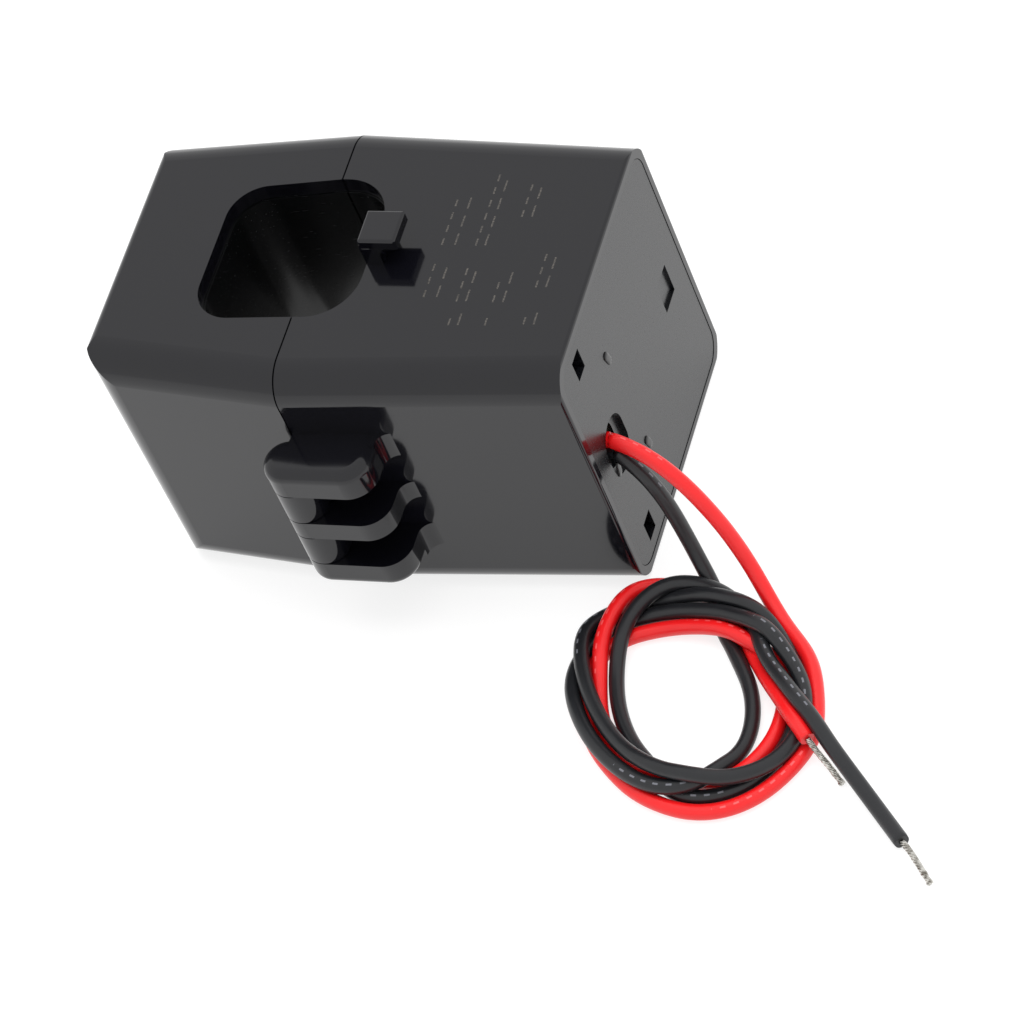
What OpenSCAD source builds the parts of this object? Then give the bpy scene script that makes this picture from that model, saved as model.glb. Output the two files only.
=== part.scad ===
// Split-core current transformer: a tapered two-part housing round a rectangular core,
// hinged on one side and latched on the other, with two flying leads.
// +X runs from the cap to the lead end, with the split plane at X = 0.
// +Y runs across the housing, away from the hinge.  +Z runs along the measured conductor.
// The back face rests at Z = 0.

/* [Housing] */
// Size of the housing along the conductor
depth = 30; // [29:0.5:36]
// Length of the fixed part, from the split to the lead end
base_len = 27; // [26.5:0.5:34]
// Length of the hinged cap, from the split to its end
cap_len = 19.5; // [19:0.5:24]
// Width at the split
split_w = 31; // [30.5:0.5:36]
// Width at the lead end
base_end_w = 28.5; // [28:0.5:31]
// Width at the cap's end
cap_end_w = 26.8; // [26.5:0.1:31]
// Radius of the long edges
edge_r = 3.2; // [2.4:0.1:4]
// Radius of the edges round the cap's end
cap_end_r = 0.8; // [0.5:0.1:1.2]
// Radius of the cap's two upright corners
cap_corner_r = 3; // [1:0.1:3.2]
// Radius of the rim's edge at the lead end
rim_edge_r = 0.35; // [0.1:0.05:0.5]
// Wall of the housing
wall = 1.6; // [1.2:0.1:1.8]
// Wall left round the end cover
rim_wall = 0.9; // [0.7:0.1:1.1]
// Gap between the two halves at the split
split_gap = 0.15; // [0.1:0.05:0.3]

/* [Window] */
// Width of the conductor window at the split
window_w = 15.8; // [14:0.1:16.2]
// How far the window's middle lies from the housing's middle
window_y = 0.4; // [0:0.1:0.6]
// Depth of the window in the fixed part
base_window_d = 5.2; // [4.8:0.1:5.8]
// Corner radius of the window in the fixed part
base_window_r = 4.6; // [3:0.1:4.7]
// Depth of the window in the cap
cap_window_d = 10.2; // [9:0.1:10.6]
// Width of the window at the cap's end of it
cap_window_w = 15; // [13:0.1:15.4]
// Sideways lean of the window towards the hinge in the cap
window_lean = 0.9; // [0:0.1:1]
// Corner radius of the window in the cap
cap_window_r = 3.6; // [2:0.1:4]
// Wall of the window liners
liner_wall = 0.7; // [0.5:0.05:0.8]
// How far the liners stand inside the housing's window edge
liner_step = 0.15; // [0.05:0.05:0.3]

/* [Core and winding] */
// Thickness of the core's legs and yokes
core_t = 3.3; // [2.6:0.1:3.3]
// Size of the core along the conductor
core_d = 19; // [16:0.5:19]
// Distance between the core's two legs
core_gap = 18.4; // [18.2:0.1:18.4]
// Outer corner radius of the core halves
core_r = 3.5; // [2.5:0.1:4]
// Build-up of the winding on its bobbin
winding_t = 2.5; // [1.5:0.1:2.5]
// Wall of the bobbin
bobbin_wall = 0.8; // [0.6:0.1:0.9]
// Thickness of the tape over the winding
tape_t = 0.15; // [0.1:0.05:0.2]
// Thickness of the strip of the core spring
spring_t = 0.3; // [0.2:0.05:0.4]

/* [Hinge] */
// Radius of the hinge barrels
barrel_r = 2.25; // [2:0.05:2.6]
// Radius of the hinge pin
pin_r = 0.8; // [0.6:0.05:1]
// Height of the whole hinge along its pin
hinge_h = 16.2; // [14:0.2:20]
// Thickness of the middle hinge slab
mid_slab_t = 2.2; // [1.8:0.1:3]
// Thickness of the two outer hinge slabs
end_slab_t = 3.1; // [2.4:0.1:3.6]
// Length of the slabs along the fixed part
slab_len = 8.2; // [7:0.1:12]
// Radius of the slabs' outer corner
slab_corner_r = 2.6; // [1:0.1:3]
// Fillet where the slabs meet the housing
slab_fillet = 1.4; // [0.6:0.1:2]
// Radius of the long edge of the hinge's two end faces
slab_edge_r = 1.1; // [0.4:0.1:1.4]

/* [Latch] */
// Width of the latch arm
latch_w = 12; // [8:0.5:16]
// Thickness of the latch arm
latch_t = 1.4; // [1:0.1:1.8]
// Reach of the latch arm past the split
latch_reach = 6.5; // [6:0.1:8]
// Height of the catch that holds the latch
catch_h = 1.3; // [0.9:0.1:1.6]

/* [Tie hook] */
// Size of the hook's square head
hook_head = 3.7; // [2.6:0.1:4.4]
// Height of the hook above the window face
hook_h = 3.2; // [2.6:0.1:5]
// Thickness of the hook's head
hook_head_t = 1.3; // [0.8:0.1:1.8]
// Thickness of the hook's stem
hook_stem_t = 1.7; // [1.2:0.1:2.4]
// Radius of the edges of the hook's head
hook_edge_r = 0.3; // [0.1:0.05:0.4]

/* [End cover] */
// Thickness of the end cover
cover_t = 2; // [1.6:0.1:2.6]
// Clearance round the end cover
cover_fit = 0.06; // [0.04:0.01:0.2]
// Width of the lead exit hole
exit_w = 3; // [2.6:0.1:3.4]
// Height of the lead exit hole
exit_h = 4.8; // [4.6:0.1:5.2]
// Distance of the exit recess from the middle of the cover
exit_y = 8.9; // [8.6:0.1:9.2]

/* [Leads] */
// Outer diameter of the leads
lead_d = 1.45; // [1.2:0.05:1.6]
// Distance between the two leads at the exit
lead_pitch = 1.7; // [1.65:0.05:1.9]
// Diameter of the tinned strands at the bare ends
tinned_d = 0.9; // [0.6:0.05:1.1]
// Length of the tinned strands
tinned_len = 5; // [3:0.5:8]

/* [Hidden] */
$fn = 48;

far = 60;                    // reach of a cutting block past the housing
eps = 0.5;                   // overlap between solids that are joined
seat = 0.05;                 // clearance between pieces that are pushed together
mid_z = depth / 2;
liner_z = wall + 2 * seat;   // where a liner starts, behind each big wall
base_turn = atan((split_w - base_end_w) / 2 / base_len);
cap_turn = atan((split_w - cap_end_w) / 2 / cap_len);
hair = 0.001;                // how far a rounding crosses the sides that it meets
split_wall = 1.4;            // thickness of the wall that closes each half at the split
window_top = window_y + window_w / 2;
window_bottom = window_y - window_w / 2;

core_z0 = mid_z - core_d / 2;
leg_y = core_gap / 2;        // inner face of a leg
bobbin_x0 = base_window_d + liner_wall + 0.45 + winding_t + tape_t;
yoke_x = bobbin_x0 + bobbin_wall + seat;
bobbin_x1 = yoke_x + core_t + seat + bobbin_wall;
bobbin_z0 = core_z0 - seat - bobbin_wall;
bobbin_z1 = core_z0 + core_d + seat + bobbin_wall;
flange_t = 0.8;
flange_lip = tape_t + 0.1;   // how far a flange stands above the winding
flange_y = leg_y - 0.25;
winding_l = 2 * (flange_y - flange_t) - 0.2;
winding_air = 0.4;           // space between the tape and the big walls
winding_z = mid_z - wall - winding_air - tape_t - core_d / 2 - seat - bobbin_wall;
winding_x = bobbin_x1 + winding_t + tape_t;
winding_r = 0.8 * min(winding_t, winding_z);
cap_yoke_x = cap_window_d + liner_wall + 0.25;
core_relief = 0.05;          // gap at the core's pole faces

hinge_y = -(split_w / 2 + 0.25 + barrel_r);
hinge_z0 = mid_z - hinge_h / 2;
slab_back = hinge_y - barrel_r;
slab_root = -split_w / 2 + wall / 2;
knuckle_gap = 0.1;           // clearance between a knuckle and a slab
pin_fit = 0.05;              // radial clearance of the pin in the cap's knuckles
gap_h = (hinge_h - 2 * end_slab_t - mid_slab_t) / 2;
knuckle_z = [hinge_z0 + end_slab_t, hinge_z0 + end_slab_t + gap_h + mid_slab_t];

latch_y = split_w / 2 + 0.35;
latch_window = [2, 4.7];     // stretch of the arm that is open over the catch
hook_x = base_window_d + liner_step;
hook_y = 0.4;

cover_x = base_len - seat;   // outer face of the cover, just inside the rim
cover_in = cover_x - cover_t;
exit_z = mid_z - 0.4;
exit_recess = 0.5;
exit_step = [0.5, 0.4];      // offset of the inner hole from the recess
lead_y = -exit_y - 0.9;
red_z = exit_z + 0.1 + lead_pitch;
black_z = exit_z + 0.1;
stub_x = winding_x + 2;
splice_z = [black_z - 0.25, red_z + 0.25];
sleeve_r = lead_d / 2 + 0.3;
tail_d = 0.5;
anchor_t = 1.3;              // thickness of the adhesive behind the cover
tail_y = -(flange_y - flange_t - 0.55);
spring_half = 0.65 * leg_y;   // half length of the core spring
spring_foot = spring_half / 3;
spring_flat = spring_half / 5;
spring_w = 0.42 * core_d;

// Routes of the free leads, in X from the housing's lead end: from the exit to the coil,
// and from the coil to the bare ends.
red_route = [[0, lead_y, red_z], [1.4, lead_y, red_z], [3.4, -10.6, 16.1], [5.4, -11.9, 15.3],
    [7.2, -12.9, 14.1], [8.9, -13.9, 12.4], [10.3, -14.7, 10.3], [11.5, -15.2, 8.6],
    [12.6, -15.7, 7], [13.4, -16.6, 5.7], [14, -17.6, 4.6], [14.6, -18.8, 3.8], [15.2, -20, 3.2]];
black_route = [[0, lead_y, black_z], [1.2, lead_y, black_z], [2.5, -10.6, 14.2],
    [3.6, -11.4, 13.2], [4.4, -12.1, 11.8], [5.1, -12.8, 10.1], [5.8, -13.6, 8.2],
    [6.6, -14.3, 6.4], [7.4, -14.9, 4.9], [8.1, -15.9, 3.8], [8.6, -16.9, 3.2]];
red_tail_route = [[11.4, -19.2, 1.3], [12.3, -21, 1.9], [13.3, -22.8, 2.3], [14.6, -24.9, 2.6],
    [16.1, -27, 2.9], [17.6, -29, 3.2], [19.2, -30.8, 3.4], [20.6, -32.1, 3.5]];
black_tail_route = [[10.8, -18.9, 3.2], [12.2, -21, 3.9], [13.4, -22.6, 4.2], [15, -24.3, 4.3],
    [16.8, -26.2, 4.3], [18.5, -28, 4.2], [20.2, -29.4, 4.1], [21.8, -30.7, 3.7],
    [23.4, -32.3, 3], [25.4, -34.8, 1.6], [27.8, -37.4, 0.8], [30.7, -40.2, 0.75]];
coil_at = [8.2, -26.7];
coil_size = [20.4, 29];
coil_turn = 41;
coil_band = 3.3;
coil_h = 3;

// --- outlines with true arcs: p is a list of corners in turn, r the radius of each ---
function unit(v) = v / norm(v);
function edge_out(p, i) = let (d = unit(p[(i + 1) % len(p)] - p[i])) [d[1], -d[0]];
function corner_dir(p, i) =
    let (a = edge_out(p, (i + len(p) - 1) % len(p)), b = edge_out(p, i)) (a + b) / (1 + a * b);
function grown(p, t) = [for (i = [0:len(p) - 1]) p[i] + t * corner_dir(p, i)];

module rounded(p, r) {
    n = len(p);
    polygon([for (i = [0:n - 1]) for (s = [n - 1, n])
        p[i] - r[i] * corner_dir(p, i) + r[i] * edge_out(p, (i + s) % n)]);
    for (i = [0:n - 1]) if (r[i] > 0)
        translate(p[i] - r[i] * corner_dir(p, i)) circle(r[i] + hair);
}

// Outline of the window in the fixed part, grown by t.  It runs past the split by "past".
module base_window(t, past) {
    p = grown([[-far, window_bottom], [base_window_d, window_bottom],
        [base_window_d, window_top], [-far, window_top]], t);
    intersection() {
        rounded(p, [0, base_window_r + t, base_window_r + t, 0]);
        translate([-past, -far]) square([far, 2 * far]);
    }
}

// Outline of the window in the cap, grown by t.
module cap_window(t, past) {
    slope = (cap_window_w - window_w) / 2 / cap_window_d;
    lean = window_lean / cap_window_d;
    k = 10;                  // length that the sides run on past the split
    p = grown([[-cap_window_d, window_y - window_lean - cap_window_w / 2],
        [k, window_bottom + (lean + slope) * k], [k, window_top + (lean - slope) * k],
        [-cap_window_d, window_y - window_lean + cap_window_w / 2]], t);
    intersection() {
        rounded(p, [cap_window_r + t, 0, 0, cap_window_r + t]);
        translate([past - far, -far]) square([far, 2 * far]);
    }
}

// --- housing forms ---
// Section of one side of the housing, drawn inwards from its face: t is the inset.
module side_section(t) {
    r = edge_r - t;
    rounded([[t, t], [far, t], [far, depth - t], [t, depth - t]], [r, 0, 0, r]);
}

// One side wall carried along the taper, with the body's inside towards +Y.
module side_run(turn, len, t) {
    translate([0, -split_w / 2, 0]) rotate([0, 0, turn])
        translate([-10, 0, 0]) rotate([90, 0, 90]) linear_extrude(len + 20) side_section(t);
}

// A tapered half of the housing between x0 and x1, inset by t.
module tapered(turn, len, t, x0, x1) {
    intersection() {
        side_run(turn, len, t);
        mirror([0, 1, 0]) side_run(turn, len, t);
        translate([x0, -far, -far]) cube([x1 - x0, 2 * far, 2 * far]);
    }
}

module base_form(t, x0, x1) { tapered(base_turn, base_len, t, x0, x1); }
module cap_form(t, x0, x1) { mirror([1, 0, 0]) tapered(cap_turn, cap_len, t, x0, x1); }

module box(x, y, z) {
    translate([x[0], y[0], z[0]]) cube([x[1] - x[0], y[1] - y[0], z[1] - z[0]]);
}

module rod(a, b, d) {
    v = b - a;
    translate(a) rotate([0, acos(v[2] / norm(v)), atan2(v[1], v[0])]) cylinder(h = norm(v), d = d);
}

// Ribs that carry a core half between the two big walls, on one side of x = 0.
module core_ribs(x0, x1) {
    for (s = [-1, 1]) for (z = [[wall - eps, core_z0], [core_z0 + core_d, depth - wall + eps]])
        box([x0, x1], s > 0 ? [leg_y + 0.6, leg_y + core_t - 0.9]
            : [-leg_y - core_t + 0.9, -leg_y - 0.6], z);
}

// Openings in a split wall that the core's two legs pass through.
module pole_holes() {
    for (s = [0, 1]) mirror([0, s, 0])
        box([-eps - split_wall, split_wall + eps], [leg_y - seat, leg_y + core_t + seat],
            [core_z0 - seat, core_z0 + core_d + seat]);
}

// --- hinge ---
// Fillet between a slab's end and the housing.
module slab_web() {
    end_face = -split_w / 2 + tan(base_turn) * (slab_len + slab_fillet);
    difference() {
        translate([slab_len - eps, end_face - slab_fillet])
            square([eps + slab_fillet, slab_fillet + wall / 2]);
        translate([slab_len + slab_fillet, end_face - slab_fillet]) circle(slab_fillet);
    }
}

// Plan of the middle slab: a barrel, a straight back with a round corner, and a fillet.
module slab_plan() {
    translate([0, hinge_y]) circle(barrel_r);
    rounded([[0, slab_back], [slab_len, slab_back], [slab_len, slab_root], [0, slab_root]],
        [0, slab_corner_r, 0, 0]);
    slab_web();
}

// Disc of an end slab, its upper edge rounded.
module slab_disc(r) {
    rotate_extrude() rounded([[0, 0], [r, 0], [r, end_slab_t], [0, end_slab_t]],
        [0, 0, slab_edge_r, 0]);
}

// An end slab: its upper edge is rounded round the barrel, the back, the corner and the end.
module end_slab() {
    run = slab_len - slab_corner_r;
    side = slab_back + slab_corner_r;
    translate([0, hinge_y, 0]) slab_disc(barrel_r + hair);
    translate([run, side, 0]) slab_disc(slab_corner_r + hair);
    translate([0, slab_back, 0]) rotate([90, 0, 90]) linear_extrude(run)
        rounded([[0, 0], [slab_root - slab_back, 0], [slab_root - slab_back, end_slab_t],
            [0, end_slab_t]], [0, 0, 0, slab_edge_r]);
    translate([0, slab_root, 0]) rotate([90, 0, 0]) linear_extrude(slab_root - side)
        rounded([[run - eps, 0], [slab_len, 0], [slab_len, end_slab_t], [run - eps, end_slab_t]],
            [0, 0, slab_edge_r, 0]);
    linear_extrude(end_slab_t) slab_web();
}

module hinge_slabs() {
    translate([0, 0, hinge_z0 + hinge_h - end_slab_t]) end_slab();
    translate([0, 0, hinge_z0 + end_slab_t + gap_h]) linear_extrude(mid_slab_t) slab_plan();
    translate([0, 0, hinge_z0 + end_slab_t]) mirror([0, 0, 1]) end_slab();
}

module knuckle_plan() {
    wall_y = -split_w / 2 + wall / 2;
    translate([0, hinge_y]) circle(barrel_r);
    polygon([[-barrel_r, hinge_y], [-split_gap, hinge_y], [-split_gap, wall_y],
        [-barrel_r, wall_y]]);
}

// --- latch ---
module catch_plan() {
    face = split_w / 2;
    back = latch_window[1] - 0.35;
    polygon([[latch_window[0] + 0.2, face - wall / 2], [back, face - wall / 2],
        [back, face + 0.35 + catch_h], [back - 0.5, face + 0.35 + catch_h],
        [latch_window[0] + 0.2, face + 0.1]]);
}

module latch_arm() {
    z0 = mid_z - latch_w / 2;
    root = 7;
    difference() {
        translate([0, 0, z0]) linear_extrude(latch_w)
            polygon([[-root, split_w / 2 - wall * 1.2], [-3, split_w / 2 - wall / 2],
                [-3, latch_y - 0.1], [-2.7, latch_y], [latch_reach, latch_y],
                [latch_reach, latch_y + latch_t + 0.8], [latch_reach - 0.8, latch_y + latch_t + 0.8],
                [latch_reach - 1.6, latch_y + latch_t], [-root + 2, latch_y + latch_t]]);
        box([latch_window[0], latch_window[1]], [latch_y - 1, latch_y + latch_t + 1],
            [z0 + 2, z0 + latch_w - 2]);
    }
}

// --- fixed part ---
// Box with rounded edges.
module eased_box(x, y, z, r) {
    intersection() {
        translate([0, 0, z[0]]) linear_extrude(z[1] - z[0])
            rounded([[x[0], y[0]], [x[1], y[0]], [x[1], y[1]], [x[0], y[1]]], [r, r, r, r]);
        translate([0, y[1] + 1, 0]) rotate([90, 0, 0]) linear_extrude(y[1] - y[0] + 2)
            rounded([[x[0], z[0]], [x[1], z[0]], [x[1], z[1]], [x[0], z[1]]], [r, r, r, r]);
        translate([x[0] - 1, 0, 0]) rotate([90, 0, 90]) linear_extrude(x[1] - x[0] + 2)
            rounded([[y[0], z[0]], [y[1], z[0]], [y[1], z[1]], [y[0], z[1]]], [r, r, r, r]);
    }
}

module tie_hook() {
    y = [hook_y - hook_head / 2, hook_y + hook_head / 2];
    top = depth + hook_h;
    inset = 0.02;            // how far the stem stands inside the head's sides
    box([hook_x + inset, hook_x + hook_stem_t], y + [inset, -inset],
        [depth - wall / 2, top - hook_head_t / 2]);
    eased_box([hook_x, hook_x + hook_head], y, [top - hook_head_t, top], hook_edge_r);
}

// Block whose four edges at the lead end are rounded.
module rim_form() {
    r = rim_edge_r;
    y0 = split_w / 2 + tan(base_turn);
    intersection() {
        translate([0, far, 0]) rotate([90, 0, 0]) linear_extrude(2 * far)
            rounded([[-far, 0], [base_len, 0], [base_len, depth], [-far, depth]], [0, r, r, 0]);
        translate([0, 0, -1]) linear_extrude(depth + 2)
            rounded([[-1, -y0], [base_len, -base_end_w / 2], [base_len, base_end_w / 2], [-1, y0]],
                [0, r, r, 0]);
    }
}

module base_shell() {
    color("#17181b") difference() {
        union() {
            difference() {
                intersection() {
                    base_form(0, 0, base_len + 1);
                    rim_form();
                }
                base_form(wall, split_wall, base_len + 1);
                base_form(rim_wall, cover_in, base_len + 1);
            }
            hinge_slabs();
            core_ribs(split_wall - eps, yoke_x + core_t / 2);
            translate([0, 0, mid_z - latch_w / 2 + 2.4]) linear_extrude(latch_w - 4.8) catch_plan();
            tie_hook();
        }
        translate([0, 0, -1]) linear_extrude(depth + 2) base_window(liner_step, 1);
        box([-eps, split_wall + eps], [window_bottom - liner_wall - seat,
            window_top + liner_wall + seat], [wall + seat, depth - wall - seat]);
        pole_holes();
        translate([0, hinge_y, hinge_z0 - 1]) cylinder(h = hinge_h, r = pin_r + 0.02);
    }
}

module base_liner() {
    color("#101113") difference() {
        translate([0, 0, liner_z]) linear_extrude(depth - 2 * liner_z) base_window(liner_wall, 0);
        translate([0, 0, -1]) linear_extrude(depth + 2) base_window(0, 1);
    }
}

module obround(w, h, len) {
    linear_extrude(len) {
        square([w, h - w], center = true);
        for (s = [-1, 1]) translate([0, s * (h - w) / 2]) circle(w / 2);
    }
}

module end_cover() {
    port_w = 1.8;
    port_h = 2.4;
    color("#1c1d20") difference() {
        base_form(rim_wall + cover_fit, cover_in, cover_x);
        for (z = [-11.6, 11.6]) box([cover_in - 1, cover_x + 1],
            [-exit_y - 0.6 - port_w / 2, -exit_y - 0.6 + port_w / 2],
            [mid_z + z - port_h / 2, mid_z + z + port_h / 2]);
        box([cover_x - 0.3, cover_x + 1], [exit_y - 1.5, exit_y + 1.3], [exit_z - 1.5, exit_z + 2]);
        translate([cover_in - 1, -exit_y - exit_step[0], exit_z + exit_step[1]])
            rotate([90, 0, 90]) obround(exit_w, exit_h, 2 * cover_t);
        translate([cover_x - exit_recess, -exit_y, exit_z]) rotate([90, 0, 90])
            obround(exit_w + 1.5, exit_h + 1.4, cover_t);
    }
}

// --- core ---
// A U of core_t strip with its legs' tips at x = tip and the yoke's inner face at x = yoke.
module u_core(tip, yoke) {
    y = leg_y + core_t;
    translate([0, 0, core_z0]) linear_extrude(core_d) difference() {
        rounded([[tip, -y], [yoke + core_t, -y], [yoke + core_t, y], [tip, y]],
            [0, core_r, core_r, 0]);
        rounded([[tip - 1, -leg_y], [yoke, -leg_y], [yoke, leg_y], [tip - 1, leg_y]],
            [0, 0.2, 0.2, 0]);
    }
}

module base_core() { color("#6d7076") u_core(0, yoke_x); }
module cap_core() { color("#6d7076") mirror([1, 0, 0]) u_core(core_relief, cap_yoke_x); }

// --- bobbin and winding, running along Y round the yoke ---
// Ring round the yoke: x and z are its opening, t its build in X and Z, l its length.
module yoke_ring(x, z, r, t, l) {
    rotate([90, 0, 0]) translate([0, 0, -l / 2]) linear_extrude(l) difference() {
        rounded([[x[0] - t[0], z[0] - t[1]], [x[1] + t[0], z[0] - t[1]],
            [x[1] + t[0], z[1] + t[1]], [x[0] - t[0], z[1] + t[1]]], [r, r, r, r]);
        translate([x[0], z[0]]) square([x[1] - x[0], z[1] - z[0]]);
    }
}

module bobbin() {
    bore_x = [yoke_x - seat, yoke_x + core_t + seat];
    bore_z = [core_z0 - seat, core_z0 + core_d + seat];
    reach = bobbin_wall + flange_lip;
    yoke_ring(bore_x, bore_z, 0.4, [bobbin_wall, bobbin_wall], 2 * flange_y);
    for (s = [-1, 1]) translate([0, s * (flange_y - flange_t / 2), 0])
        yoke_ring(bore_x, bore_z, 1.2, [reach + winding_t, reach + winding_z], flange_t);
}

module bobbin_front() {
    color("#e8e4d8") intersection() {
        bobbin();
        box([0, far], [-far, far], [mid_z, depth]);
    }
}

module bobbin_back() {
    color("#dcd8cc") intersection() {
        bobbin();
        box([0, far], [-far, far], [0, mid_z]);
    }
}

module secondary_winding() {
    color("#b5642c") yoke_ring([bobbin_x0, bobbin_x1], [bobbin_z0, bobbin_z1], winding_r,
        [winding_t, winding_z], winding_l);
}

module winding_tape() {
    x = [bobbin_x0 - winding_t, bobbin_x1 + winding_t];
    z = [bobbin_z0 - winding_z, bobbin_z1 + winding_z];
    color("#d9b23a") rotate([90, 0, 0]) translate([0, 0, -winding_l / 2])
        linear_extrude(winding_l) difference() {
            rounded([[x[0] - tape_t, z[0] - tape_t], [x[1] + tape_t, z[0] - tape_t],
                [x[1] + tape_t, z[1] + tape_t], [x[0] - tape_t, z[1] + tape_t]],
                [for (i = [0:3]) winding_r + tape_t]);
            rounded([[x[0], z[0]], [x[1], z[0]], [x[1], z[1]], [x[0], z[1]]],
                [for (i = [0:3]) winding_r]);
        }
}

// --- internal connections ---
// Wire from the winding's outer turn, over the bobbin's flange and into the sleeve.
module tail(z) {
    tube([for (p = [[0, tail_y], [0.25, tail_y], [0.45, tail_y - 0.3], [0.52, tail_y - 0.7],
        [0.58, lead_y + 0.5], [0.75, lead_y + 0.14], [0.95, lead_y], [1.9, lead_y]])
        [winding_x + p[0], p[1], z]], tail_d);
}

module start_tail() { color("#b5642c") tail(splice_z[1]); }
module finish_tail() { color("#b5642c") tail(splice_z[0]); }

module splice(z) {
    difference() {
        rod([stub_x - 1, lead_y, z], [stub_x + 1, lead_y, z], 2 * sleeve_r);
        rod([stub_x - 2, lead_y, z], [stub_x, lead_y, z], tail_d + 2 * seat);
        rod([stub_x, lead_y, z], [stub_x + 2, lead_y, z], lead_d + 2 * seat);
    }
}

module red_splice_sleeve() { color("#2a2b2e") splice(splice_z[1]); }
module black_splice_sleeve() { color("#2a2b2e") splice(splice_z[0]); }

// Tube of diameter d swept along the points p, with a ring of 8 corners at each point.
function along(p, i) = unit(p[min(i + 1, len(p) - 1)] - p[max(i - 1, 0)]);
function side_of(t) = unit(cross(abs(t[2]) > 0.9 ? [1, 0, 0] : [0, 0, 1], t));
function tube_ring(p, i, d) =
    let (t = along(p, i), u = side_of(t), v = cross(t, u))
    [for (k = [0:7]) p[i] + d / 2 * (cos(k * 45) * u + sin(k * 45) * v)];

module tube(p, d) {
    n = len(p);
    pts = [for (i = [0:n - 1]) each tube_ring(p, i, d)];
    sides = [for (i = [0:n - 2]) for (k = [0:7]) let (a = i * 8 + k, b = i * 8 + (k + 1) % 8)
        each [[a, a + 8, b], [b, a + 8, b + 8]]];
    polyhedron(pts, concat(sides, [[for (k = [0:7]) k]], [[for (k = [7:-1:0]) (n - 1) * 8 + k]]));
}

// Route of a lead inside: through the anchor at z, then to its sleeve at to_z.
function stub_route(z, to_z) = [[base_len, lead_y, z], [cover_in - anchor_t - 0.05, lead_y, z],
    [stub_x + 1.05, lead_y, to_z], [stub_x + 0.05, lead_y, to_z]];

module red_lead_stub() { color("#e02020") tube(stub_route(red_z, splice_z[1]), lead_d); }
module black_lead_stub() { color("#1b1b1e") tube(stub_route(black_z, splice_z[0]), lead_d); }

// Block of hot-melt behind the cover that grips both leads.
module lead_anchor() {
    margin = 1.3;
    color("#d8d2be") difference() {
        box([cover_in - anchor_t, cover_in], [lead_y - margin, lead_y + margin],
            [black_z - margin, red_z + margin]);
        for (z = [red_z, black_z])
            rod([cover_in - 3, lead_y, z], [cover_in + 1, lead_y, z], lead_d + 2 * seat);
    }
}

module hinge_pin() {
    color("#b9bcc2") translate([0, hinge_y, hinge_z0 + 0.2]) cylinder(h = hinge_h - 1.4, r = pin_r);
}

// --- cap ---
module cap_shell() {
    color("#17181b") difference() {
        union() {
            difference() {
                intersection() {
                    cap_form(0, split_gap, cap_len + 1);
                    cap_end_form();
                }
                cap_form(wall, -1, cap_len - wall);
            }
            difference() {
                for (z = knuckle_z) translate([0, 0, z + knuckle_gap])
                    linear_extrude(gap_h - 2 * knuckle_gap) knuckle_plan();
                cap_form(wall, -1, cap_len - wall);
            }
            latch_arm();
        }
        translate([0, 0, -1]) linear_extrude(depth + 2) cap_window(liner_step, 1);
        translate([0, hinge_y, 0]) cylinder(h = depth, r = pin_r + pin_fit);
    }
}

// Block whose two edges and two upright corners at the cap's end are rounded.
module cap_end_form() {
    r = cap_end_r;
    y1 = split_w / 2 + tan(cap_turn);
    intersection() {
        translate([0, far, 0]) rotate([90, 0, 0]) linear_extrude(2 * far)
            rounded([[-cap_len, 0], [far, 0], [far, depth], [-cap_len, depth]], [r, 0, 0, r]);
        translate([0, 0, -1]) linear_extrude(depth + 2)
            rounded([[-cap_len, -cap_end_w / 2], [1, -y1], [1, y1], [-cap_len, cap_end_w / 2]],
                [cap_corner_r, 0, 0, cap_corner_r]);
    }
}

module cap_liner() {
    inset = wall + seat;
    color("#101113") difference() {
        union() {
            translate([0, 0, liner_z]) linear_extrude(depth - 2 * liner_z)
                cap_window(liner_wall, -split_gap);
            difference() {
                cap_form(inset, split_gap, split_gap + split_wall);
                mirror([1, 0, 0]) pole_holes();
            }
        }
        translate([0, 0, -1]) linear_extrude(depth + 2) cap_window(0, 1);
    }
}

// Bent strip that presses the cap's core half towards the split.
module core_spring() {
    back = cap_yoke_x + core_t;
    foot = cap_len - wall;
    top = spring_half - spring_foot;
    color("#c7cbd1") translate([0, 0, mid_z - spring_w / 2]) linear_extrude(spring_w) polygon([
        [-foot, -spring_half], [-foot, -top], [-back - spring_t, -spring_flat + 0.2],
        [-back - spring_t, spring_flat - 0.2], [-foot, top], [-foot, spring_half],
        [-foot + spring_t, spring_half], [-foot + spring_t, top], [-back, spring_flat],
        [-back, -spring_flat], [-foot + spring_t, -top], [-foot + spring_t, -spring_half]]);
}

// --- free leads ---
module lead(route) { translate([base_len, 0, 0]) tube(route, lead_d); }
module red_lead() { color("#e02020") lead(red_route); }
module black_lead() { color("#1b1b1e") lead(black_route); }
module red_tail() { color("#e02020") lead(red_tail_route); }
module black_tail() { color("#1b1b1e") lead(black_tail_route); }

module oval(w, h) {
    rounded([[-w, -h] / 2, [w, -h] / 2, [w, h] / 2, [-w, h] / 2], [for (i = [0:3]) w / 2 - 0.2]);
}

module lead_coil() {
    color("#1b1b1e") translate([base_len + coil_at[0], coil_at[1], 0])
        rotate([0, 0, coil_turn]) linear_extrude(coil_h) difference() {
            oval(coil_size[0], coil_size[1]);
            oval(coil_size[0] - 2 * coil_band, coil_size[1] - 2 * coil_band);
        }
}

module tinned(route) {
    a = route[len(route) - 1];
    translate([base_len, 0, 0])
        rod(a, a + tinned_len * unit(a - route[len(route) - 2]), tinned_d);
}

module red_tinned_end() { color("#c9ccd0") tinned(red_tail_route); }
module black_tinned_end() { color("#c9ccd0") tinned(black_tail_route); }

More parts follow.
